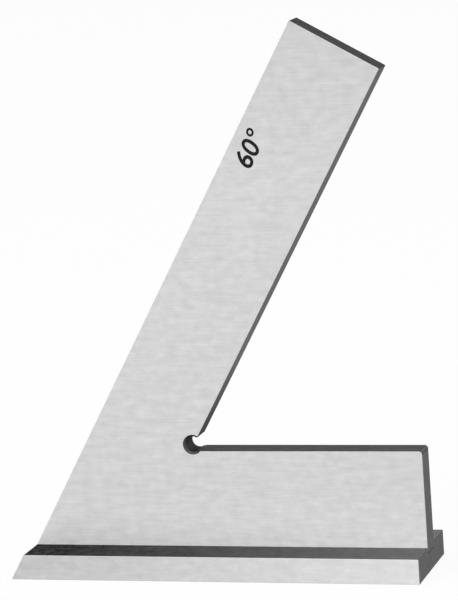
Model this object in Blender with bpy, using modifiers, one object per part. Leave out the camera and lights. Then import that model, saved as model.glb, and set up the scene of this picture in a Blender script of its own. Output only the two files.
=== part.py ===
"""Mitre square of 60 degrees with a stop, standing on its stop.

The blade is one steel plate cut to a V: a long leg that leans at the mitre angle and a short arm along the
base. Its foot is let into a shallow groove, milled along the middle of a flat stop bar, and three dowel pins
pressed up from the underside of the bar lock the two together. Both ends are ground flush across blade and
bar, so the bar keeps a ledge along the front and another along the back, which seat on the edge of the work.

Lengths are in metres and +Z is up. The origin is the middle of the stop's underside, +X runs towards the
square end and -Y is the front.
"""

import math

import bmesh
import bpy
from mathutils import Matrix, Vector

# The whole square
MITRE_ANGLE = math.radians(60.0)
BLADE_LENGTH = 0.150
STOP_LENGTH = 0.100

# Blade plate: the arm's rise is from the stop's ledges to the arm's top edge
PLATE_THICKNESS = 0.0065
LEG_WIDTH = 0.0235
ARM_RISE = 0.0231
RELIEF_DIAMETER = 0.0048
RELIEF_UNDERCUT = 0.0008
RELIEF_INSET = 0.0002
RELIEF_FACETS = 30

# Stop bar
STOP_WIDTH = 0.026
STOP_HEIGHT = 0.006
GROOVE_DEPTH = 0.0017

# Dowel pins: each reaches from the stop's underside to this far into the blade's foot
PIN_COUNT = 3
PIN_DIAMETER_SHARE = 0.46
PIN_HOLD = 0.0074
PIN_LEAD_CHAMFER = 0.0003
PIN_END_DISTANCE = 0.016
DRILL_POINT_ANGLE = math.radians(118.0)
TURNED_FACETS = 32

# Fits and finish
SEAT_CLEARANCE = 0.0003
PIN_CLEARANCE = 0.0003
EDGE_BREAK = 0.0001
EDGE_BREAK_STEPS = 2
CUT_OVERRUN = 0.001

# Tolerances of the modelling itself
SAME_PLACE = 0.000001
FLAT_ANGLE = math.radians(0.1)
CORNER_ANGLE = math.radians(30.0)

# Surface looks: colour, roughness
BLADE_FACE = ((0.62, 0.62, 0.63, 1.0), 0.38)
STOP_FACE = ((0.58, 0.58, 0.59, 1.0), 0.42)
PIN_FACE = ((0.50, 0.50, 0.51, 1.0), 0.45)

GROOVE_FLOOR = STOP_HEIGHT - GROOVE_DEPTH
FOOT_HEIGHT = GROOVE_FLOOR + SEAT_CLEARANCE
ARM_TOP = STOP_HEIGHT + ARM_RISE
RELIEF_RADIUS = RELIEF_DIAMETER / 2
PIN_RADIUS = PLATE_THICKNESS * PIN_DIAMETER_SHARE / 2
PIN_LENGTH = FOOT_HEIGHT + PIN_HOLD


def clear_scene():
    for thing in list(bpy.data.objects):
        bpy.data.objects.remove(thing, do_unlink=True)


def new_collection(name):
    collection = bpy.data.collections.new(name)
    bpy.context.scene.collection.children.link(collection)
    return collection


def steel(name, colour, roughness):
    material = bpy.data.materials.new(name)
    material.use_nodes = True
    shader = material.node_tree.nodes["Principled BSDF"]
    shader.inputs["Base Color"].default_value = colour
    shader.inputs["Metallic"].default_value = 1.0
    shader.inputs["Roughness"].default_value = roughness
    material.diffuse_color = colour
    return material


def add_object(name, data, collection, carrier, location):
    piece = bpy.data.objects.new(name, data)
    collection.objects.link(piece)
    piece.parent = carrier
    piece.location = location
    return piece


# Outlines are drawn from the mitre corner, the lower left end of the stop, as (distance along, height).

ALONG_LEG = Vector((math.cos(MITRE_ANGLE), math.sin(MITRE_ANGLE)))
ACROSS_LEG = Vector((math.sin(MITRE_ANGLE), -math.cos(MITRE_ANGLE)))


def outer_edge(height):
    """The mitred outer edge, which the blade and the stop's end share, at this height."""
    return ALONG_LEG * (height / ALONG_LEG.y)


def relief_arc(centre):
    """The drilled hole's wall, from the arm's top edge round the back to the leg's inner edge."""
    rise = RELIEF_RADIUS - RELIEF_UNDERCUT
    at_arm = -math.asin(rise / RELIEF_RADIUS)
    at_leg = MITRE_ANGLE - math.asin(RELIEF_INSET / RELIEF_RADIUS)
    sweep = at_leg - at_arm - math.tau
    turns = [at_arm + sweep * step / RELIEF_FACETS for step in range(RELIEF_FACETS + 1)]
    return [centre + RELIEF_RADIUS * Vector((math.cos(turn), math.sin(turn))) for turn in turns]


def relief_centre():
    """The hole is centred just behind the leg's inner edge and dips below the arm's top edge."""
    height = ARM_TOP - RELIEF_UNDERCUT + RELIEF_RADIUS
    return outer_edge(height) + Vector(((LEG_WIDTH - RELIEF_INSET) / ACROSS_LEG.x, 0.0))


def blade_outline():
    leg_end = ALONG_LEG * BLADE_LENGTH
    return [
        outer_edge(FOOT_HEIGHT),
        Vector((STOP_LENGTH, FOOT_HEIGHT)),
        Vector((STOP_LENGTH, ARM_TOP)),
        *relief_arc(relief_centre()),
        leg_end + ACROSS_LEG * LEG_WIDTH,
        leg_end,
    ]


def stop_outline():
    return [
        outer_edge(0.0),
        Vector((STOP_LENGTH, 0.0)),
        Vector((STOP_LENGTH, STOP_HEIGHT)),
        outer_edge(STOP_HEIGHT),
    ]


def prepare_plate(mesh):
    """Welds the caps to the sides, makes each cap one face, and weights the outside corners for the bevel."""
    plate = bmesh.new()
    plate.from_mesh(mesh)
    bmesh.ops.remove_doubles(plate, verts=plate.verts, dist=SAME_PLACE)
    bmesh.ops.dissolve_limit(plate, angle_limit=FLAT_ANGLE, verts=plate.verts, edges=plate.edges)
    weight = plate.edges.layers.float.new("bevel_weight_edge")
    for edge in plate.edges:
        if edge.calc_face_angle() > CORNER_ANGLE:
            edge[weight] = 1.0
    plate.to_mesh(mesh)
    plate.free()
    mesh.shade_smooth()
    mesh.set_sharp_from_angle(angle=CORNER_ANGLE)


def break_edges(piece):
    bevel = piece.modifiers.new("broken_edges", "BEVEL")
    bevel.limit_method = "WEIGHT"
    bevel.width = EDGE_BREAK
    bevel.segments = EDGE_BREAK_STEPS


def cut_plate(name, outline, thickness, material, collection, carrier):
    """A flat piece cut to its outline and stood on edge from the mitre corner, with its edges broken."""
    curve = bpy.data.curves.new(name + "_outline", "CURVE")
    curve.dimensions = "2D"
    curve.fill_mode = "BOTH"
    curve.extrude = thickness / 2
    spline = curve.splines.new("POLY")
    spline.points.add(len(outline) - 1)
    for point, corner in zip(spline.points, outline):
        point.co = (corner.x, corner.y, 0.0, 1.0)
    spline.use_cyclic_u = True

    mitre_corner = Vector((-STOP_LENGTH / 2, 0.0, 0.0))
    drawn = add_object(name + "_drawn", curve, collection, carrier, mitre_corner)
    drawn.rotation_euler = (math.pi / 2, 0.0, 0.0)
    bpy.context.view_layer.update()
    evaluated = drawn.evaluated_get(bpy.context.evaluated_depsgraph_get())
    mesh = bpy.data.meshes.new_from_object(evaluated)
    mesh.name = name
    mesh.materials.clear()
    mesh.materials.append(material)
    prepare_plate(mesh)

    piece = bpy.data.objects.new(name, mesh)
    collection.objects.link(piece)
    piece.parent = carrier
    piece.matrix_world = drawn.matrix_world
    bpy.data.objects.remove(drawn, do_unlink=True)
    break_edges(piece)
    return piece


def turned(name, profile, collection, carrier, location):
    """A turned piece: a half profile of (radius, height) points from the top down, spun round its own Z."""
    mesh = bpy.data.meshes.new(name)
    points = [(radius, 0.0, height) for radius, height in profile]
    sides = [(index, index + 1) for index in range(len(profile) - 1)]
    mesh.from_pydata(points, sides, [])
    piece = add_object(name, mesh, collection, carrier, location)
    spin = piece.modifiers.new("turned", "SCREW")
    spin.steps = TURNED_FACETS
    spin.render_steps = TURNED_FACETS
    spin.use_merge_vertices = True
    spin.merge_threshold = SAME_PLACE
    spin.use_smooth_shade = False
    return piece


def dowel_pin(number, place, material, collection, carrier):
    """A hardened pin with a lead chamfer at its inner end and its outer end ground flush with the bar."""
    profile = [
        (0.0, PIN_LENGTH),
        (PIN_RADIUS - PIN_LEAD_CHAMFER, PIN_LENGTH),
        (PIN_RADIUS, PIN_LENGTH - PIN_LEAD_CHAMFER),
        (PIN_RADIUS, 0.0),
        (0.0, 0.0),
    ]
    pin = turned(f"dowel_pin_{number}", profile, collection, carrier, place)
    pin.data.materials.append(material)
    return pin


def keep_as_cutter(cutter):
    cutter.hide_render = True
    cutter.display_type = "WIRE"
    return cutter


def pin_drill(number, place, collection, carrier):
    """The cutter of one pin's hole, drilled from below through the bar and blind into the foot."""
    radius = PIN_RADIUS + PIN_CLEARANCE
    depth = PIN_LENGTH + PIN_CLEARANCE
    point_depth = radius / math.tan(DRILL_POINT_ANGLE / 2)
    profile = [
        (0.0, depth + point_depth),
        (radius, depth),
        (radius, -CUT_OVERRUN),
        (0.0, -CUT_OVERRUN),
    ]
    return keep_as_cutter(turned(f"pin_drill_{number}", profile, collection, carrier, place))


def groove_mill(collection, carrier):
    """The cutter of the groove that runs the whole length of the bar's top and takes the blade's foot."""
    length = STOP_LENGTH + 2 * CUT_OVERRUN
    width = PLATE_THICKNESS + 2 * SEAT_CLEARANCE
    height = GROOVE_DEPTH + CUT_OVERRUN
    block = bmesh.new()
    bmesh.ops.create_cube(block, size=1.0, matrix=Matrix.Diagonal((length, width, height, 1.0)))
    mesh = bpy.data.meshes.new("groove_mill")
    block.to_mesh(mesh)
    block.free()
    place = Vector((0.0, 0.0, GROOVE_FLOOR + height / 2))
    return keep_as_cutter(add_object("groove_mill", mesh, collection, carrier, place))


def pin_places():
    """Evenly spaced between the first and the last pin, which stand the same distance in from both ends."""
    first = PIN_END_DISTANCE - STOP_LENGTH / 2
    pitch = (STOP_LENGTH - 2 * PIN_END_DISTANCE) / (PIN_COUNT - 1)
    return [Vector((first + pitch * index, 0.0, 0.0)) for index in range(PIN_COUNT)]


def cut_away(piece, cutters):
    for cutter in cutters:
        cut = piece.modifiers.new(cutter.name, "BOOLEAN")
        cut.operation = "DIFFERENCE"
        cut.object = cutter


def build_square():
    clear_scene()
    pieces = new_collection("mitre_square")
    cutters = new_collection("cutters")
    carrier = bpy.data.objects.new("square_origin", None)
    pieces.objects.link(carrier)

    blade_steel = steel("blade_steel", *BLADE_FACE)
    stop_steel = steel("stop_steel", *STOP_FACE)
    pin_steel = steel("pin_steel", *PIN_FACE)

    blade = cut_plate("blade", blade_outline(), PLATE_THICKNESS, blade_steel, pieces, carrier)
    stop_bar = cut_plate("stop_bar", stop_outline(), STOP_WIDTH, stop_steel, pieces, carrier)

    drills = []
    for number, place in enumerate(pin_places(), start=1):
        dowel_pin(number, place, pin_steel, pieces, carrier)
        drills.append(pin_drill(number, place, cutters, carrier))
    cut_away(blade, drills)
    cut_away(stop_bar, [groove_mill(cutters, carrier), *drills])


build_square()
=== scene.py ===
"""Dresses the mitre square: a ground V-shaped blade let into a flat stop bar, on a pale studio floor.

Lengths are in metres in the part's own frame: +X along the stop, -Y to the front, +Z up.
"""

import math

import bmesh
import bpy
import numpy as np
from mathutils import Matrix, Vector


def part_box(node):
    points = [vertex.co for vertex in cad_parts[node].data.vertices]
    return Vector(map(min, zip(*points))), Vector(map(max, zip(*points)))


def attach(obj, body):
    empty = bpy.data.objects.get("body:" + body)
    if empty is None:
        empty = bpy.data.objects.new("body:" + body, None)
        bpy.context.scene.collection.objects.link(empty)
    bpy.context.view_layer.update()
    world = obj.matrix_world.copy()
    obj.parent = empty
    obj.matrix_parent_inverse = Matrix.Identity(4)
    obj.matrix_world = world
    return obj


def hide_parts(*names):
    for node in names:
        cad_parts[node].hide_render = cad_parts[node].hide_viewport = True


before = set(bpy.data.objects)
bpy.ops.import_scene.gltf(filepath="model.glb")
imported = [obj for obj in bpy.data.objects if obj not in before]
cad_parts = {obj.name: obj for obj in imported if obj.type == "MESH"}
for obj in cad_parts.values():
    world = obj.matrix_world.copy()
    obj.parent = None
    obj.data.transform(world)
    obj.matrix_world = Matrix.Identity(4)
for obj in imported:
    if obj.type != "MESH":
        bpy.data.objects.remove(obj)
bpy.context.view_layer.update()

# Stop bar
# One flat bar of stainless steel, milled and then ground on its faces. A shallow groove along the middle of
# its top takes the blade's foot, and its left end is ground at the mitre angle together with the blade.
MILLIMETRE = 0.001
BAR_LOW, BAR_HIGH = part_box("stop_bar")
BLADE_LOW, BLADE_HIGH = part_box("blade")
PIN_BOXES = [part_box(f"dowel_pin_{number}") for number in (1, 2, 3)]
PIN_PLACES = [(low.x + high.x) / 2 for low, high in PIN_BOXES]
PIN_DIAMETER = PIN_BOXES[0][1].x - PIN_BOXES[0][0].x
MITRE_ANGLE = math.radians(60.0)
MITRE_FACING = math.pi / 2 + MITRE_ANGLE
RIGHT, UP, LEFT, DOWN = 0.0, math.pi / 2, math.pi, -math.pi / 2
EDGE_BREAK = 0.00012
CORNER_ROUND = 0.00015
SEAM_GAP = 0.00002
SEAM_BREAK = 0.00002
GROOVE_ROUND = 0.00005
BREAK_RUN_OUT = 0.0003
GROOVE_SIDE = BLADE_HIGH.y + SEAM_GAP
GROOVE_FLOOR = BLADE_LOW.z - SEAM_GAP
ARC_STEPS = 6
TURNED_STEPS = 64
WELD_DISTANCE = 1e-7
FRONT_OR_BACK = math.sqrt(0.5)


def corner(first, second, radius, edge_break):
    """An arc that rounds an outline's corner between two edges: centre, signed radius, two turns, edge break.

    An edge is (angle of its outward normal, its distance from the origin). The centre is where both edges
    cross once they are moved inwards by the radius, which is negative at an inside corner.
    """
    normals = np.array([[math.cos(turn), math.sin(turn)] for turn in (first[0], second[0])])
    centre = np.linalg.solve(normals, np.array([first[1] - radius, second[1] - radius]))
    sweep = (second[0] - first[0] + math.pi) % math.tau - math.pi
    return centre, radius, (first[0], first[0] + sweep), edge_break


def spot(edge, along, across, edge_break):
    """One point on a straight edge, as an arc that doesn't turn."""
    return np.array([along, across]), 0.0, (edge[0],), edge_break


def outline(arcs, steps):
    """A closed outline in columns: place 2, outward normal 2, way in 2, depth 1, straightness 1.

    Each point of an arc is its centre plus the signed radius times the outward normal there. The way in is
    how far the broken edge sets the outline in on the end face, and the depth is how far it reaches down
    the side.
    """
    rows = []
    for centre, radius, turns, edge_break in arcs:
        angles = np.linspace(turns[0], turns[-1], steps + 1 if len(turns) == 2 else 1)
        normals = np.stack([np.cos(angles), np.sin(angles)], axis=1)
        depth_and_shape = np.tile([edge_break, 0.0], (len(angles), 1))
        rows.append(np.hstack([centre + radius * normals, normals, -edge_break * normals, depth_and_shape]))
    rows.append(rows[0][:1])
    return np.vstack(rows)


def carried(loop, levels, into_space):
    """The outline carried from end to end: a grid of place 3, normal on the broken edge 3, on the side 3.

    At each level, an end and a turn from 0 on the side to 90 degrees on the end face, a rounded edge is set
    in by way in x (1 - cos turn) and kept back from the end by depth x (1 - sin turn). On a straight one, a
    countersink, both go by even steps, and it leans at 45 degrees all the way.
    """
    straight = loop[:, 7] > 0
    edge_normals = -loop[:, 4:6] / np.linalg.norm(loop[:, 4:6], axis=1, keepdims=True)
    rows = []
    for end, turn in levels:
        even = turn / (math.pi / 2)
        inward = np.where(straight, even, 1 - math.cos(turn))[:, None]
        kept_back = loop[:, 6] * np.where(straight, 1 - even, 1 - math.sin(turn))
        lean = np.where(straight, math.pi / 4, turn)[:, None]
        outline_there = loop[:, :2] + loop[:, 4:6] * inward
        places, sides, facing = into_space(outline_there, loop[:, 2:4], end, kept_back)
        edge_sides = into_space(outline_there, edge_normals, end, kept_back)[1]
        rows.append(np.hstack([places, edge_sides * np.cos(lean) + facing * np.sin(lean), sides]))
    return np.stack(rows)


def quads(grid):
    """A grid's cells as faces of four corners."""
    cells = np.stack([grid[:-1, :-1], grid[1:, :-1], grid[1:, 1:], grid[:-1, 1:]], axis=2)
    return cells.reshape(-1, 4, grid.shape[-1])


def broken_edges(rows):
    """The faces between these rows of a carried grid, lit as the rounded or countersunk edge."""
    return quads(rows[:, :, :6])


def straight_sides(rows):
    """The faces between these rows of a carried grid, lit as the straight side."""
    return quads(np.concatenate([rows[:, :, :3], rows[:, :, 6:]], axis=2))


def flat(places, normal):
    """One flat face with as many corners as there are places."""
    return np.hstack([places, np.tile(np.array(normal, float), (len(places), 1))])[None]


def turned(profile, middle):
    """A surface turned round a pin's axis from a half profile of (radius, height), one patch to a stretch.

    A point on it is the middle plus radius x (cos, sin) of the angle around, at the profile's height. The
    normals point to the left of the way the profile runs, and a stretch that starts or ends on the axis is
    a fan of triangles.
    """
    around = np.linspace(0.0, math.tau, TURNED_STEPS + 1)
    ring = np.stack([np.cos(around), np.sin(around)], axis=1)
    patches = []
    for (radius_a, height_a), (radius_b, height_b) in zip(profile, profile[1:]):
        length = math.hypot(radius_b - radius_a, height_b - height_a)
        out, rise = (height_a - height_b) / length, (radius_b - radius_a) / length
        normals = np.hstack([ring * out, np.full((len(ring), 1), rise)])
        rows = [
            np.hstack([ring * radius + [middle, 0.0], np.full((len(ring), 1), height), normals])
            for radius, height in ((radius_a, height_a), (radius_b, height_b))
        ]
        kept = [0, 1, 2, 3]
        if radius_a == 0.0:
            kept = [0, 1, 2]
        if radius_b == 0.0:
            kept = [0, 1, 3]
        patches.append(quads(np.stack(rows))[:, kept])
    return patches


def drilled_strip(left, right, half_width, height, radius, facing):
    """A level strip with the pins' holes along its middle, as two faces that meet on the middle line.

    Each face runs round the strip's half and back along the middle line, with a half circle of
    middle + radius x (cos, sin) at every hole.
    """
    middles = np.array(PIN_PLACES)[::-1, None]
    turns = np.linspace(0.0, math.pi, TURNED_STEPS // 2 + 1)[None]
    halves = []
    for side in (-1.0, 1.0):
        across = 0 * middles + side * radius * np.sin(turns)
        rims = np.stack([middles + radius * np.cos(turns), across], axis=2)
        ends = np.array([[left, 0.0], [left, side * half_width], [right, side * half_width], [right, 0.0]])
        strip = np.vstack([ends, rims.reshape(-1, 2)])
        places = np.hstack([strip, np.full((len(strip), 1), height)])
        halves.append(flat(places, (0.0, 0.0, facing)))
    return halves


def lay_of(corners):
    """Where each corner lies on its own side of the piece: along the grinding lines, and across them.

    On the front and the back that is X and Z. On an edge it is the way along the edge, and Y.
    """
    place, facing = corners[:, :3], corners[:, 3:6]
    front = np.abs(facing[:, 1]) > FRONT_OR_BACK
    along_edge = place[:, 0] * facing[:, 2] - place[:, 2] * facing[:, 0]
    along = np.where(front, place[:, 0], along_edge)
    across = np.where(front, place[:, 2], place[:, 1])
    return np.stack([along, across], axis=1)


def solid(name, patches, finish_of, finishes):
    """One closed mesh from patches, each an array of faces x corners x (place 3, normal 3).

    Corners in one place are welded, each patch is turned to look the way that its normals point, and the
    normals are kept, so that flat sides stay flat in the light and only the broken edges shade round. The
    finish of each face follows from the way it faces.
    """
    looking_out = []
    for patch in patches:
        middles = patch[:, :, :3].mean(axis=1, keepdims=True)
        spokes = patch[:, :, :3] - middles
        around = np.cross(spokes, np.roll(spokes, -1, axis=1)).sum(axis=1)
        outwards = np.sum(around * patch[:, :, 3:].mean(axis=1)) > 0
        looking_out.append(patch if outwards else patch[:, ::-1])
    corners = np.vstack([patch.reshape(-1, 6) for patch in looking_out])
    counts = np.concatenate([np.full(len(patch), patch.shape[1]) for patch in looking_out])
    facings = np.vstack([patch[:, :, 3:].mean(axis=1) for patch in looking_out])
    keys = np.round(corners[:, :3] / WELD_DISTANCE).astype(np.int64)
    _, seen_first, vertex = np.unique(keys, axis=0, return_index=True, return_inverse=True)
    mesh = bpy.data.meshes.new(name)
    mesh.from_pydata(corners[seen_first, :3], [], np.split(vertex.ravel(), np.cumsum(counts)[:-1]))
    mesh.polygons.foreach_set("material_index", finish_of(facings).astype(np.int32))
    mesh.shade_smooth()
    mesh.uv_layers.new(name="lay").data.foreach_set("uv", lay_of(corners).astype(np.float32).ravel())
    mesh.normals_split_custom_set(corners[:, 3:].astype(np.float32))
    for finish in finishes:
        mesh.materials.append(finish)
    piece = bpy.data.objects.new(name, mesh)
    bpy.context.collection.objects.link(piece)
    return piece


LINE_DETAIL, STREAK_DETAIL, PATCH_DETAIL = 3.0, 2.0, 3.0
LINE_RISE, STREAK_RISE, MIDDLE_RISE = 0.7, 0.3, 0.5
BUMP_STRENGTH = 0.5


def ground_steel(
    name, colour, metallic, grazing_tint, roughness, line, streak, mottle, relief, slope=0.0, height_shares=()
):
    """Steel with the fine straight lines that a grinding wheel leaves, on the map named lay.

    Three noises vary its colour: lines a fraction of a millimetre wide and a centimetre long, broader
    streaks, and soft patches, each given as (length, width, strength). The lines and the patches also vary
    the roughness, given as (middle, strength), and the lines and the streaks lift the surface by up to the
    relief. The slope is the change of tone from the mitred end to the square end. The height shares are
    pairs of (height, share of the colour there), from the lowest up.
    """
    material = bpy.data.materials.new(name)
    material.use_nodes = True
    nodes, links = material.node_tree.nodes, material.node_tree.links
    shader = nodes["Principled BSDF"]
    shader.inputs["Metallic"].default_value = metallic
    shader.inputs["Specular Tint"].default_value = (*grazing_tint, 1.0)
    lay = nodes.new("ShaderNodeUVMap")
    lay.uv_map = "lay"

    def grain(length, width, detail):
        """A noise whose flecks are about this long and this wide along the grinding lines."""
        stretch = nodes.new("ShaderNodeMapping")
        stretch.inputs["Scale"].default_value = (1 / length, 1 / width, 1.0)
        links.new(lay.outputs["UV"], stretch.inputs["Vector"])
        noise = nodes.new("ShaderNodeTexNoise")
        noise.inputs["Scale"].default_value = 1.0
        noise.inputs["Detail"].default_value = detail
        links.new(stretch.outputs["Vector"], noise.inputs["Vector"])
        return noise.outputs["Fac"]

    def along(axis, start, end):
        """0 at the start, 1 at the end, and even between them along one of the piece's own axes."""
        place = nodes.new("ShaderNodeTexCoord")
        split = nodes.new("ShaderNodeSeparateXYZ")
        reach = nodes.new("ShaderNodeMapRange")
        reach.inputs["From Min"].default_value = start
        reach.inputs["From Max"].default_value = end
        links.new(place.outputs["Object"], split.inputs[0])
        links.new(split.outputs[axis], reach.inputs["Value"])
        return reach.outputs["Result"]

    def sums(parts, middle):
        """The middle plus, for each value that runs from 0 to 1, its weight x (value - a half)."""
        total = None
        for value, weight in parts:
            centred = nodes.new("ShaderNodeMath")
            centred.operation = "MULTIPLY_ADD"
            centred.inputs[1].default_value = weight
            links.new(value, centred.inputs[0])
            if total is None:
                centred.inputs[2].default_value = middle - sum(part[1] for part in parts) / 2
            else:
                links.new(total, centred.inputs[2])
            total = centred.outputs[0]
        return total

    lines = grain(*line[:2], LINE_DETAIL)
    streaks = grain(*streak[:2], STREAK_DETAIL)
    patches = grain(*mottle[:2], PATCH_DETAIL)
    ends = along("X", BAR_LOW.x, BAR_HIGH.x)
    tones = [(lines, line[2]), (streaks, streak[2]), (patches, mottle[2]), (ends, slope)]
    for (low, low_share), (high, high_share) in zip(height_shares, height_shares[1:]):
        tones.append((along("Z", low, high), high_share - low_share))
    middle_tone = (height_shares[0][1] + height_shares[-1][1]) / 2 if height_shares else 1.0
    shade = nodes.new("ShaderNodeVectorMath")
    shade.operation = "SCALE"
    shade.inputs[0].default_value = colour
    links.new(sums(tones, middle_tone), shade.inputs["Scale"])
    links.new(shade.outputs["Vector"], shader.inputs["Base Color"])
    dulling = [(lines, roughness[1]), (patches, roughness[1])]
    links.new(sums(dulling, roughness[0]), shader.inputs["Roughness"])
    bump = nodes.new("ShaderNodeBump")
    bump.inputs["Strength"].default_value = BUMP_STRENGTH
    bump.inputs["Distance"].default_value = relief
    rises = [(lines, LINE_RISE), (streaks, STREAK_RISE)]
    links.new(sums(rises, MIDDLE_RISE), bump.inputs["Height"])
    links.new(bump.outputs["Normal"], shader.inputs["Normal"])
    return material


BAR_COLOUR = (0.745, 0.745, 0.745)
# The milled edges' colours below are painted shade: darker copies of the steel for faces that look up or
# stand, and darker still on the broken edges.
LEDGE_SHADE_COLOUR = (0.51, 0.51, 0.515)
UPRIGHT_SHADE_COLOUR = (0.43, 0.43, 0.435)
BROKEN_SHADE_COLOUR = (0.34, 0.34, 0.345)
GROUND_SURFACE = {
    "metallic": 0.35,
    "grazing_tint": (1.0, 1.0, 1.0),
    "roughness": (0.46, 0.10),
    "line": (10 * MILLIMETRE, 0.25 * MILLIMETRE, 0.20),
    "streak": (7 * MILLIMETRE, 1.3 * MILLIMETRE, 0.18),
    "mottle": (2.6 * MILLIMETRE, 2.2 * MILLIMETRE, 0.28),
    "relief": 0.01 * MILLIMETRE,
}
# The dark grazing tint paints the milled edges dark where they are seen at a glancing angle, as a painted
# reflection of dark surroundings.
MILLED_SURFACE = {
    "metallic": 1.0,
    "grazing_tint": (0.15, 0.15, 0.15),
    "roughness": (0.27, 0.06),
    "line": (12 * MILLIMETRE, 0.3 * MILLIMETRE, 0.10),
    "streak": (8 * MILLIMETRE, 1.2 * MILLIMETRE, 0.10),
    "mottle": (3 * MILLIMETRE, 2 * MILLIMETRE, 0.14),
    "relief": 0.01 * MILLIMETRE,
}
# Painted shade on the milled edges that stand.
upright_shaded_steel = ground_steel("milled_upright_shaded_steel", UPRIGHT_SHADE_COLOUR, **MILLED_SURFACE)
# Painted shade on the bar's top ledge: a zero grazing tint paints it dark at a glancing angle, and its slope
# paints it lighter from the mitred end to the square end.
ledge_shaded_steel = ground_steel(
    "milled_ledge_shaded_steel",
    LEDGE_SHADE_COLOUR,
    metallic=1.0,
    grazing_tint=(0.0, 0.0, 0.0),
    roughness=(0.21, 0.12),
    line=(12 * MILLIMETRE, 0.5 * MILLIMETRE, 0.24),
    streak=(6 * MILLIMETRE, 1.5 * MILLIMETRE, 0.24),
    mottle=(1.5 * MILLIMETRE, 2.5 * MILLIMETRE, 0.42),
    relief=0.01 * MILLIMETRE,
    slope=0.70,
)
# Painted shade on the broken edges, darker so that they show no highlight between the milled and ground
# faces.
broken_shaded_steel = ground_steel(
    "broken_edge_shaded_steel",
    BROKEN_SHADE_COLOUR,
    metallic=1.0,
    grazing_tint=(0.0, 0.0, 0.0),
    roughness=(0.30, 0.08),
    line=(4 * MILLIMETRE, 0.1 * MILLIMETRE, 0.20),
    streak=(3 * MILLIMETRE, 0.5 * MILLIMETRE, 0.20),
    mottle=(2 * MILLIMETRE, 1 * MILLIMETRE, 0.20),
    relief=0.005 * MILLIMETRE,
)
bar_steel = ground_steel("ground_bar_steel", BAR_COLOUR, slope=0.27, **GROUND_SURFACE)


def along_bar(points, normals, end, kept_back):
    """The bar's section stands in Y and Z.

    Its left end leans back at the mitre angle, and its right end is square.
    """
    across, height = points.T
    if end < 0:
        along = height / math.tan(MITRE_ANGLE) - BAR_HIGH.x + kept_back
        facing = (math.cos(MITRE_FACING), 0.0, math.sin(MITRE_FACING))
    else:
        along = BAR_HIGH.x - kept_back
        facing = (1.0, 0.0, 0.0)
    sides = np.hstack([0 * normals[:, :1], normals])
    return np.stack([along, across, height], axis=1), sides, np.array(facing)


underside, bar_back, bar_top = (DOWN, -BAR_LOW.z), (RIGHT, BAR_HIGH.y), (UP, BAR_HIGH.z)
groove_back, groove_floor, groove_front = (LEFT, -GROOVE_SIDE), (UP, GROOVE_FLOOR), (RIGHT, -GROOVE_SIDE)
bar_front = (LEFT, -BAR_LOW.y)
seam_side = GROOVE_SIDE + GROOVE_ROUND
section = outline(
    [
        corner(underside, bar_back, CORNER_ROUND, EDGE_BREAK),
        corner(bar_back, bar_top, CORNER_ROUND, EDGE_BREAK),
        spot(bar_top, seam_side + BREAK_RUN_OUT, BAR_HIGH.z, EDGE_BREAK),
        corner(bar_top, groove_back, GROOVE_ROUND, SEAM_BREAK),
        corner(groove_back, groove_floor, -GROOVE_ROUND, SEAM_BREAK),
        spot(groove_floor, 0.0, GROOVE_FLOOR, SEAM_BREAK),
        corner(groove_floor, groove_front, -GROOVE_ROUND, SEAM_BREAK),
        corner(groove_front, bar_top, GROOVE_ROUND, SEAM_BREAK),
        spot(bar_top, -seam_side - BREAK_RUN_OUT, BAR_HIGH.z, EDGE_BREAK),
        corner(bar_top, bar_front, CORNER_ROUND, EDGE_BREAK),
        corner(bar_front, underside, CORNER_ROUND, EDGE_BREAK),
        spot(underside, 0.0, BAR_LOW.z, EDGE_BREAK),
    ],
    ARC_STEPS,
)
LEVEL_FACING = 0.999
break_turns = np.linspace(math.pi / 2, 0.0, ARC_STEPS + 1)
bar_levels = [(-1, turn) for turn in break_turns] + [(1, turn) for turn in break_turns[::-1]]
bar_grid = carried(section, bar_levels, along_bar)
bar_sides = straight_sides(bar_grid[ARC_STEPS : ARC_STEPS + 2])
level = np.abs(bar_sides[:, :, 5].mean(axis=1)) > LEVEL_FACING
drilled = level & (bar_sides[:, :, 2].mean(axis=1) < GROOVE_FLOOR + WELD_DISTANCE)
hole_radius = PIN_DIAMETER / 2 + SEAM_GAP
bar_patches = [
    broken_edges(bar_grid[: ARC_STEPS + 1]),
    broken_edges(bar_grid[ARC_STEPS + 1 :]),
    bar_sides[~drilled],
    flat(bar_grid[0, :-1, :3], (math.cos(MITRE_FACING), 0.0, math.sin(MITRE_FACING))),
    flat(bar_grid[-1, :-1, :3], (1.0, 0.0, 0.0)),
]
for half_width, height, edge_break, facing in (
    (BAR_HIGH.y - CORNER_ROUND, BAR_LOW.z, EDGE_BREAK, -1.0),
    (GROOVE_SIDE - GROOVE_ROUND, GROOVE_FLOOR, SEAM_BREAK, 1.0),
):
    left = height / math.tan(MITRE_ANGLE) - BAR_HIGH.x + edge_break
    right = BAR_HIGH.x - edge_break
    bar_patches += drilled_strip(left, right, half_width, height, hole_radius, facing)
for middle in PIN_PLACES:
    bar_patches += turned([(hole_radius, BAR_LOW.z), (hole_radius, GROOVE_FLOOR)], middle)

GROUND_FACE, LEVEL_EDGE, UPRIGHT_EDGE, BROKEN_EDGE, DRILLED_WALL, INNER_EDGE = 0, 1, 2, 3, 4, 5
LOOKS_UP, LOOKS_DOWN, UNDERSIDE = 0.7, -0.3, -0.9
SAME_FACING = 0.9999
# The milled edges face up, right and left, and as the mitre, the leg's inner edge and the leg's end do.
EDGE_TURNS = (UP, RIGHT, LEFT, MITRE_FACING, MITRE_FACING + math.pi, MITRE_ANGLE)
EDGE_FACINGS = np.array([(math.cos(turn), 0.0, math.sin(turn)) for turn in EDGE_TURNS])


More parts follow.
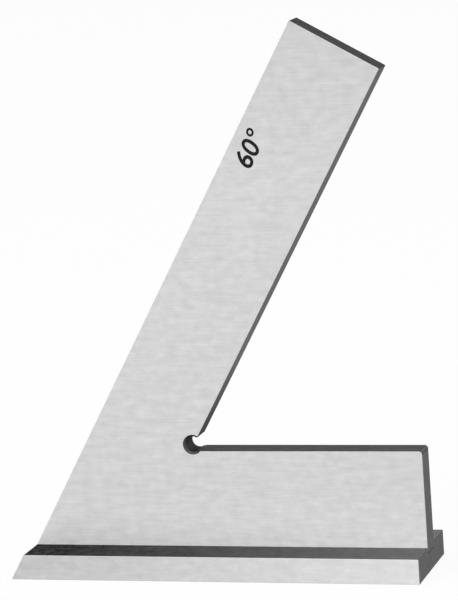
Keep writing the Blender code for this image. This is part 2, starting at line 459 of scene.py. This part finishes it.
def finish_and_shade_by_facing(facings):
    """The front, the back and the underside are ground bright, and the edges are left as they were milled.

    The milled edges are painted darker than the ground faces, as shade and dark reflections. A milled edge
    has one painted shade where it looks up, another where it stands, and a third on the leg's inner edge,
    which looks down. A face that looks another way than the milled edges do belongs to an edge broken by
    hand, which is painted darker still so that it shows no highlight.
    """
    facings = facings / np.linalg.norm(facings, axis=1, keepdims=True)
    bright = (np.abs(facings[:, 1]) > FRONT_OR_BACK) | (facings[:, 2] < UNDERSIDE)
    broken = (facings @ EDGE_FACINGS.T).max(axis=1) < SAME_FACING
    milled = np.where(facings[:, 2] > LOOKS_UP, LEVEL_EDGE, UPRIGHT_EDGE)
    milled = np.where(facings[:, 2] < LOOKS_DOWN, INNER_EDGE, milled)
    return np.where(bright, GROUND_FACE, np.where(broken, BROKEN_EDGE, milled))


bar_finishes = [bar_steel, ledge_shaded_steel, upright_shaded_steel, broken_shaded_steel]
stop_bar = solid("ground_stop_bar", bar_patches, finish_and_shade_by_facing, bar_finishes)
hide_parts("stop_bar")
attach(stop_bar, "root")

# Blade
# One plate of hardened stainless steel, cut to a V and ground on both faces. A drilled and countersunk relief
# hole opens its inner corner, and the arm's free corner is rounded off. The foot sits in the bar's groove,
# with both its ends ground flush with the bar's.
LEG_WIDTH = 0.0235
BLADE_LENGTH = 0.150
ARM_TOP = 0.0291
ARM_CORNER_ROUND = 0.0008
LEDGE = BAR_HIGH.z
BREAK_START = LEDGE + BREAK_RUN_OUT
RELIEF_RADIUS = 0.00185
RELIEF_RIM = 0.0024
RELIEF_UNDERCUT = 0.0008
RELIEF_INSET = 0.0002
RELIEF_FILLET = 0.00025
RELIEF_STEPS = 96
RIM_STEPS = 6
ARM_WAY, LEG_WAY = -1.0, 1.0

leg_inner_facing, leg_end_facing = MITRE_ANGLE - math.pi / 2, MITRE_ANGLE
mitre_reach = BAR_HIGH.x * math.sin(MITRE_ANGLE)
foot, arm_end, arm_top = (DOWN, -BLADE_LOW.z), (RIGHT, BAR_HIGH.x), (UP, ARM_TOP)
leg_outer = (MITRE_FACING, mitre_reach)
leg_inner = (leg_inner_facing, LEG_WIDTH - mitre_reach)
leg_end = (leg_end_facing, BLADE_LENGTH - BAR_HIGH.x * math.cos(MITRE_ANGLE))


def leaning(height):
    """Where the blade's outer edge is at this height."""
    return height / math.tan(MITRE_ANGLE) - BAR_HIGH.x


relief_height = ARM_TOP - RELIEF_UNDERCUT + RELIEF_RIM
relief_centre = np.array(
    [leaning(relief_height) + (LEG_WIDTH - RELIEF_INSET) / math.sin(MITRE_ANGLE), relief_height]
)


def directions(edge, away):
    """A straight edge's outward normal, and the way along it that leads off the relief hole."""
    outward = np.array([math.cos(edge[0]), math.sin(edge[0])])
    return outward, away * np.array([-outward[1], outward[0]])


def relief_fillet(edge, away):
    """The small round between a straight edge and the relief hole: its centre, and the turn where they meet.

    The centre is one fillet inside the edge, and one fillet and the hole's radius from the hole's centre.
    """
    outward, run = directions(edge, away)
    drop = relief_centre @ outward - edge[1] + RELIEF_FILLET
    reach = math.sqrt((RELIEF_RADIUS + RELIEF_FILLET) ** 2 - drop**2)
    centre = relief_centre - drop * outward + reach * run
    towards = relief_centre - centre
    return centre, math.atan2(towards[1], towards[0])


def run_out(edge, away, fillet):
    """Points on a straight edge, from the fillet to where the countersink is as shallow as the broken edge.

    The second answer is the turn at which the rim meets the broken edge, and the third a point past them all.
    """
    outward, run = directions(edge, away)
    beside = edge[1] - relief_centre @ outward
    nearest = relief_centre + beside * outward
    start = (fillet - relief_centre) @ run
    end = math.sqrt((RELIEF_RIM - EDGE_BREAK) ** 2 - beside**2)
    places = [nearest + reach * run for reach in np.linspace(start, end, RIM_STEPS + 1)[1:]]
    meets = edge[0] - away * math.acos((EDGE_BREAK - beside) / RELIEF_RIM)
    past = spot(edge, *(nearest + (RELIEF_RIM + EDGE_BREAK) * run), EDGE_BREAK)
    return [spot(edge, *place, EDGE_BREAK) for place in places], meets, past


def countersunk(arcs, steps, first_turn, last_turn):
    """A stretch of outline whose edges on both faces are the countersink's cone, and not a rounded break.

    On the face the stretch lies on the rim and goes round it evenly from one turn to the other. The cone
    leans at 45 degrees, so at each point it is as deep as that point lies inside the rim.
    """
    stretch = outline(arcs, steps)[:-1]
    turns = np.linspace(first_turn, last_turn, len(stretch))
    rim = relief_centre - RELIEF_RIM * np.stack([np.cos(turns), np.sin(turns)], axis=1)
    stretch[:, 4:6] = rim - stretch[:, :2]
    stretch[:, 6] = RELIEF_RIM - np.linalg.norm(stretch[:, :2] - relief_centre, axis=1)
    stretch[:, 7] = 1.0
    return stretch


arm_fillet, arm_turn = relief_fillet(arm_top, ARM_WAY)
leg_fillet, leg_turn = relief_fillet(leg_inner, LEG_WAY)
arm_run_out, arm_rim_turn, past_arm_rim = run_out(arm_top, ARM_WAY, arm_fillet)
leg_run_out, leg_rim_turn, past_leg_rim = run_out(leg_inner, LEG_WAY, leg_fillet)
arm_round = (arm_fillet, RELIEF_FILLET, (UP, arm_turn), EDGE_BREAK)
relief_round = (relief_centre, -RELIEF_RADIUS, (arm_turn, leg_turn), EDGE_BREAK)
leg_round = (leg_fillet, RELIEF_FILLET, (leg_turn, leg_inner_facing), EDGE_BREAK)
end_of_blade = outline(
    [
        corner(foot, arm_end, CORNER_ROUND, SEAM_BREAK),
        spot(arm_end, BAR_HIGH.x, LEDGE, SEAM_BREAK),
        spot(arm_end, BAR_HIGH.x, BREAK_START, EDGE_BREAK),
        corner(arm_end, arm_top, ARM_CORNER_ROUND, EDGE_BREAK),
        past_arm_rim,
    ],
    ARC_STEPS,
)[:-1]
rest_of_blade = outline(
    [
        past_leg_rim,
        corner(leg_inner, leg_end, CORNER_ROUND, EDGE_BREAK),
        corner(leg_end, leg_outer, CORNER_ROUND, EDGE_BREAK),
        spot(leg_outer, leaning(BREAK_START), BREAK_START, EDGE_BREAK),
        spot(leg_outer, leaning(LEDGE), LEDGE, SEAM_BREAK),
        corner(leg_outer, foot, CORNER_ROUND, SEAM_BREAK),
    ],
    ARC_STEPS,
)[:-1]
blade_loop = np.vstack(
    [
        end_of_blade,
        countersunk([*arm_run_out[::-1], arm_round], ARC_STEPS, arm_rim_turn, arm_turn),
        countersunk([relief_round], RELIEF_STEPS, arm_turn, leg_turn)[1:-1],
        countersunk([leg_round, *leg_run_out], ARC_STEPS, leg_turn, leg_rim_turn),
        rest_of_blade,
        end_of_blade[:1],
    ]
)


def through_blade(points, normals, end, kept_back):
    """The blade's outline stands in X and Z, and its thickness lies along Y."""
    depth = end * (BLADE_HIGH.y - kept_back)
    sides = np.stack([normals[:, 0], 0 * depth, normals[:, 1]], axis=1)
    return np.stack([points[:, 0], depth, points[:, 1]], axis=1), sides, np.array((0.0, float(end), 0.0))


blade_levels = [(-1, turn) for turn in break_turns] + [(0, 0.0)] + [(1, turn) for turn in break_turns[::-1]]
blade_grid = carried(blade_loop, blade_levels, through_blade)
blade_sides = straight_sides(blade_grid[ARC_STEPS : ARC_STEPS + 3])
foot_faces = blade_sides[:, :, 2].mean(axis=1) < BLADE_LOW.z + WELD_DISTANCE
PIN_TOP = PIN_BOXES[0][1].z
POINT_ANGLE = math.radians(118.0)
point_top = PIN_TOP + SEAM_GAP + hole_radius / math.tan(POINT_ANGLE / 2)
foot_left = blade_loop[-2, 0]
foot_right = blade_loop[0, 0]
blade_patches = [
    broken_edges(blade_grid[: ARC_STEPS + 1]),
    broken_edges(blade_grid[ARC_STEPS + 2 :]),
    blade_sides[~foot_faces],
    flat(blade_grid[0, :-1, :3], (0.0, -1.0, 0.0)),
    flat(blade_grid[-1, :-1, :3], (0.0, 1.0, 0.0)),
    *drilled_strip(foot_left, foot_right, BLADE_HIGH.y - SEAM_BREAK, BLADE_LOW.z, hole_radius, -1.0),
]
for middle in PIN_PLACES:
    drilled_hole = [(hole_radius, BLADE_LOW.z), (hole_radius, PIN_TOP + SEAM_GAP), (0.0, point_top)]
    blade_patches += turned(drilled_hole, middle)

BLADE_COLOUR = (0.755, 0.755, 0.755)
# The level and inner edges' colours are painted shade, darker copies of the steel for milled faces that look
# up and down.
LEVEL_SHADE_COLOUR = (0.53, 0.53, 0.535)
INNER_SHADE_COLOUR = (0.58, 0.58, 0.585)
# The drilled wall's near-black colour is painted shade for the hollow of the relief hole.
WALL_SHADE_COLOUR = (0.085, 0.085, 0.085)
# Painted light on the blade's faces by height: lighter at the foot, against the shade that the ledge casts
# there, and darker towards the leg's top.
BLADE_PAINTED_LIGHT_BY_HEIGHT = [
    (LEDGE, 1.10),
    (LEDGE + 4 * MILLIMETRE, 1.04),
    (20 * MILLIMETRE, 1.0),
    (90 * MILLIMETRE, 1.0),
    (BLADE_HIGH.z, 0.92),
]
# Painted shade on the leg's inner edge, darkest near the relief hole, in the corner's shade under the arm.
INNER_PAINTED_SHADE_BY_HEIGHT = [(ARM_TOP + 4 * MILLIMETRE, 0.35), (ARM_TOP + 22 * MILLIMETRE, 1.0)]
# The ground blade steel, with the painted light by height.
blade_steel_painted_light = ground_steel(
    "ground_blade_steel_painted_light", BLADE_COLOUR, slope=-0.03, height_shares=BLADE_PAINTED_LIGHT_BY_HEIGHT, **GROUND_SURFACE
)
# Painted shade on the arm's level top, a little lighter towards the square end.
level_shaded_steel = ground_steel(
    "milled_level_shaded_steel",
    LEVEL_SHADE_COLOUR,
    metallic=1.0,
    grazing_tint=(0.01, 0.01, 0.01),
    roughness=(0.22, 0.06),
    line=(12 * MILLIMETRE, 0.3 * MILLIMETRE, 0.12),
    streak=(8 * MILLIMETRE, 1.2 * MILLIMETRE, 0.12),
    mottle=(3 * MILLIMETRE, 2 * MILLIMETRE, 0.16),
    relief=0.01 * MILLIMETRE,
    slope=0.10,
)
# Painted shade on the leg's inner edge, which looks down.
inner_shaded_steel = ground_steel(
    "milled_inner_shaded_steel", INNER_SHADE_COLOUR, height_shares=INNER_PAINTED_SHADE_BY_HEIGHT, **MILLED_SURFACE
)
wall_shaded_steel = ground_steel(
    "drilled_wall_shaded_steel",
    WALL_SHADE_COLOUR,
    metallic=1.0,
    grazing_tint=(0.3, 0.3, 0.3),
    roughness=(0.45, 0.10),
    line=(3 * MILLIMETRE, 0.2 * MILLIMETRE, 0.20),
    streak=(3 * MILLIMETRE, 0.8 * MILLIMETRE, 0.20),
    mottle=(2 * MILLIMETRE, 2 * MILLIMETRE, 0.20),
    relief=0.01 * MILLIMETRE,
)

ON_CONE, ON_FACE = 0.5, 0.9
blade_finishes = [blade_steel_painted_light, level_shaded_steel, upright_shaded_steel, broken_shaded_steel, wall_shaded_steel, inner_shaded_steel]
blade = solid("ground_blade", blade_patches, finish_and_shade_by_facing, blade_finishes)
# The hole's wall and its countersinks get a near-black colour, painted shade for the shade in the hole.
for side in blade.data.polygons:
    off_centre = np.array([side.center.x, side.center.z]) - relief_centre
    towards_face = abs(side.normal.y)
    reach = RELIEF_RIM if towards_face > ON_CONE else RELIEF_RADIUS + WELD_DISTANCE
    if np.hypot(*off_centre) < reach and towards_face < ON_FACE:
        side.material_index = DRILLED_WALL
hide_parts("blade")
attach(blade, "root")

# Mark
# The angle that the square checks, etched into the leg's front face in plain figures, and read up the leg.
# Its dark colour varies a little, as an etch does.
MARK_TEXT = "60°"
MARK_HEIGHT = 0.0064
MARK_ALONG = 0.1188
MARK_ACROSS = 0.0050
MARK_THICKNESS = 0.00002
MARK_LEAN = 0.15
MARK_WEIGHT = 0.00010
MARK_SHINE = 0.15
MARK_TONES = (0.006, 0.020)
MARK_ROUGHNESS = (0.5, 0.7)
MARK_RELIEF = 0.01 * MILLIMETRE
FLECK_SIZE = 0.3 * MILLIMETRE
FLECK_DETAIL = 2.0
mark_paint = bpy.data.materials.new("etched_mark")
mark_paint.use_nodes = True
nodes, links = mark_paint.node_tree.nodes, mark_paint.node_tree.links
shader = nodes["Principled BSDF"]
shader.inputs["Metallic"].default_value = 0.0
shader.inputs["Specular IOR Level"].default_value = MARK_SHINE
place = nodes.new("ShaderNodeTexCoord")
fleck = nodes.new("ShaderNodeTexNoise")
fleck.inputs["Scale"].default_value = 1 / FLECK_SIZE
fleck.inputs["Detail"].default_value = FLECK_DETAIL
links.new(place.outputs["Object"], fleck.inputs["Vector"])
for socket, (least, most) in (("Base Color", MARK_TONES), ("Roughness", MARK_ROUGHNESS)):
    spread = nodes.new("ShaderNodeMapRange")
    spread.inputs["To Min"].default_value = least
    spread.inputs["To Max"].default_value = most
    links.new(fleck.outputs["Fac"], spread.inputs["Value"])
    links.new(spread.outputs["Result"], shader.inputs[socket])
lift = nodes.new("ShaderNodeBump")
lift.inputs["Distance"].default_value = MARK_RELIEF
links.new(fleck.outputs["Fac"], lift.inputs["Height"])
links.new(lift.outputs["Normal"], shader.inputs["Normal"])

lettering = bpy.data.curves.new("angle_mark_outline", "FONT")
lettering.body = MARK_TEXT
lettering.size = MARK_HEIGHT
lettering.shear = MARK_LEAN
lettering.offset = MARK_WEIGHT
lettering.align_x = "CENTER"
lettering.align_y = "CENTER"
lettering.extrude = MARK_THICKNESS / 2
drawn = bpy.data.objects.new("angle_mark_drawn", lettering)
bpy.context.collection.objects.link(drawn)
bpy.context.view_layer.update()
mark_mesh = bpy.data.meshes.new_from_object(drawn.evaluated_get(bpy.context.evaluated_depsgraph_get()))
bpy.data.objects.remove(drawn, do_unlink=True)
welded = bmesh.new()
welded.from_mesh(mark_mesh)
bmesh.ops.remove_doubles(welded, verts=welded.verts, dist=WELD_DISTANCE)
bmesh.ops.recalc_face_normals(welded, faces=welded.faces)
welded.to_mesh(mark_mesh)
welded.free()
mark_height = MARK_ALONG * math.sin(MITRE_ANGLE) - MARK_ACROSS * math.cos(MITRE_ANGLE)
mark_along = MARK_ALONG * math.cos(MITRE_ANGLE) + MARK_ACROSS * math.sin(MITRE_ANGLE) - BAR_HIGH.x
mark_front = BLADE_LOW.y
upright = Matrix.Rotation(math.pi / 2, 4, "X") @ Matrix.Rotation(MITRE_ANGLE, 4, "Z")
mark_mesh.transform(Matrix.Translation((mark_along, mark_front, mark_height)) @ upright)
mark_mesh.materials.clear()
mark_mesh.materials.append(mark_paint)
mark = bpy.data.objects.new("etched_angle_mark", mark_mesh)
bpy.context.collection.objects.link(mark)
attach(mark, "root")

# Dowel pins
# Three hardened and ground steel pins, pressed up through the bar into the blade's foot. Their outer ends are
# ground flush with the bar's underside, and their inner ends have a small lead chamfer.
LEAD_CHAMFER = 0.0003
PIN_COLOUR = (0.50, 0.50, 0.51)
pin_steel = ground_steel(
    "hardened_pin_steel",
    PIN_COLOUR,
    metallic=1.0,
    grazing_tint=(1.0, 1.0, 1.0),
    roughness=(0.30, 0.08),
    line=(6 * MILLIMETRE, 0.1 * MILLIMETRE, 0.08),
    streak=(3 * MILLIMETRE, 0.4 * MILLIMETRE, 0.10),
    mottle=(1 * MILLIMETRE, 1 * MILLIMETRE, 0.10),
    relief=0.005 * MILLIMETRE,
)
pin_radius = PIN_DIAMETER / 2
pin_profile = [
    (0.0, PIN_TOP),
    (pin_radius - LEAD_CHAMFER, PIN_TOP),
    (pin_radius, PIN_TOP - LEAD_CHAMFER),
    (pin_radius, BAR_LOW.z),
    (0.0, BAR_LOW.z),
]


def one_finish(facings):
    """Every face has the first finish."""
    return 0 * facings[:, 0]


for number, middle in enumerate(PIN_PLACES, start=1):
    pin = solid(f"pressed_pin_{number}", turned(pin_profile, middle), one_finish, [pin_steel])
    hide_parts(f"dowel_pin_{number}")
    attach(pin, "root")

# Floor, light and camera
# A pale floor runs on into a white background and keeps the square's soft shadow. One large round lamp stands
# in front, above and to the left, and the camera stands to the right, a little above the square.
FLOOR_REACH = 8.0
FLOOR_CORNERS = ((-1, -1), (1, -1), (1, 1), (-1, 1))
floor_mesh = bpy.data.meshes.new("studio_floor")
floor_places = [(x * FLOOR_REACH, y * FLOOR_REACH, -SEAM_GAP) for x, y in FLOOR_CORNERS]
floor_mesh.from_pydata(floor_places, [], [(0, 1, 2, 3)])
floor = bpy.data.objects.new("studio_floor", floor_mesh)
bpy.context.collection.objects.link(floor)


def seen_rays(nodes, links):
    """1 for what the camera, a reflection or a clear material sees, and 0 for light that fills the room."""
    path = nodes.new("ShaderNodeLightPath")
    total = path.outputs["Is Camera Ray"]
    for ray in ("Is Glossy Ray", "Is Transmission Ray"):
        add = nodes.new("ShaderNodeMath")
        add.operation = "MAXIMUM"
        links.new(total, add.inputs[0])
        links.new(path.outputs[ray], add.inputs[1])
        total = add.outputs[0]
    return total


WHITE = (1.0, 1.0, 1.0, 1.0)
FLOOR_GLOW = 0.9
FLOOR_SEEN = 0.97
FLOOR_BOUNCE = 0.5
floor_paint = bpy.data.materials.new("pale_floor")
floor_paint.use_nodes = True
nodes, links = floor_paint.node_tree.nodes, floor_paint.node_tree.links
nodes.remove(nodes["Principled BSDF"])
seen = seen_rays(nodes, links)
tone = nodes.new("ShaderNodeMath")
tone.operation = "MULTIPLY_ADD"
tone.inputs[1].default_value = FLOOR_SEEN - FLOOR_BOUNCE
tone.inputs[2].default_value = FLOOR_BOUNCE
links.new(seen, tone.inputs[0])
matt = nodes.new("ShaderNodeBsdfDiffuse")
links.new(tone.outputs[0], matt.inputs["Color"])
glow = nodes.new("ShaderNodeEmission")
glow.inputs["Color"].default_value = WHITE
glow.inputs["Strength"].default_value = 1.0
share = nodes.new("ShaderNodeMath")
share.operation = "MULTIPLY"
share.inputs[1].default_value = FLOOR_GLOW
links.new(seen, share.inputs[0])
mix = nodes.new("ShaderNodeMixShader")
links.new(share.outputs[0], mix.inputs["Fac"])
links.new(matt.outputs[0], mix.inputs[1])
links.new(glow.outputs[0], mix.inputs[2])
links.new(mix.outputs[0], nodes["Material Output"].inputs["Surface"])
floor_mesh.materials.append(floor_paint)

ROOM_LIGHT = 0.7
world = bpy.data.worlds.new("studio")
bpy.context.scene.world = world
world.use_nodes = True
nodes, links = world.node_tree.nodes, world.node_tree.links
room = nodes["Background"]
room.inputs["Color"].default_value = WHITE
room.inputs["Strength"].default_value = ROOM_LIGHT
backdrop = nodes.new("ShaderNodeBackground")
backdrop.inputs["Color"].default_value = WHITE
backdrop.inputs["Strength"].default_value = 1.0
mix = nodes.new("ShaderNodeMixShader")
links.new(seen_rays(nodes, links), mix.inputs["Fac"])
links.new(room.outputs[0], mix.inputs[1])
links.new(backdrop.outputs[0], mix.inputs[2])
links.new(mix.outputs[0], nodes["World Output"].inputs["Surface"])

LAMP_PLACE = Vector((-0.50, -0.90, 1.20))
LAMP_AIM = Vector((0.0, 0.0, 0.05))
LAMP_SIZE = 3.0
LAMP_POWER = 15.2
lamp_data = bpy.data.lights.new("soft_lamp", "AREA")
lamp_data.shape = "DISK"
lamp_data.size = LAMP_SIZE
lamp_data.energy = LAMP_POWER
lamp = bpy.data.objects.new("soft_lamp", lamp_data)
lamp.location = LAMP_PLACE
lamp.rotation_euler = (LAMP_AIM - LAMP_PLACE).to_track_quat("-Z", "Y").to_euler()
bpy.context.collection.objects.link(lamp)

CAMERA_AZIMUTH = math.radians(17.158)
CAMERA_ELEVATION = math.radians(10.702)
CAMERA_ROLL = math.radians(-4.067)
CAMERA_DISTANCE = 0.72451
CAMERA_TARGET = Vector((0.00512, 0.0, 0.06473))
FOCAL_PIXELS = 3098.31
IMAGE_HEIGHT_PIXELS = 600
SENSOR_WIDTH = 36.0
back = Vector(
    (
        math.sin(CAMERA_AZIMUTH) * math.cos(CAMERA_ELEVATION),
        -math.cos(CAMERA_AZIMUTH) * math.cos(CAMERA_ELEVATION),
        math.sin(CAMERA_ELEVATION),
    )
)
level_right = Vector((math.cos(CAMERA_AZIMUTH), math.sin(CAMERA_AZIMUTH), 0.0))
level_up = back.cross(level_right)
right = math.cos(CAMERA_ROLL) * level_right + math.sin(CAMERA_ROLL) * level_up
up = math.cos(CAMERA_ROLL) * level_up - math.sin(CAMERA_ROLL) * level_right
camera_data = bpy.data.cameras.new("photo_camera")
camera_data.sensor_width = SENSOR_WIDTH
camera_data.lens = FOCAL_PIXELS / IMAGE_HEIGHT_PIXELS * SENSOR_WIDTH
camera = bpy.data.objects.new("photo_camera", camera_data)
camera_turn = Matrix((right, up, back)).transposed().to_4x4()
camera.matrix_world = Matrix.Translation(CAMERA_TARGET + back * CAMERA_DISTANCE) @ camera_turn
bpy.context.collection.objects.link(camera)
bpy.context.scene.camera = camera
bpy.context.scene.view_settings.view_transform = "Standard"
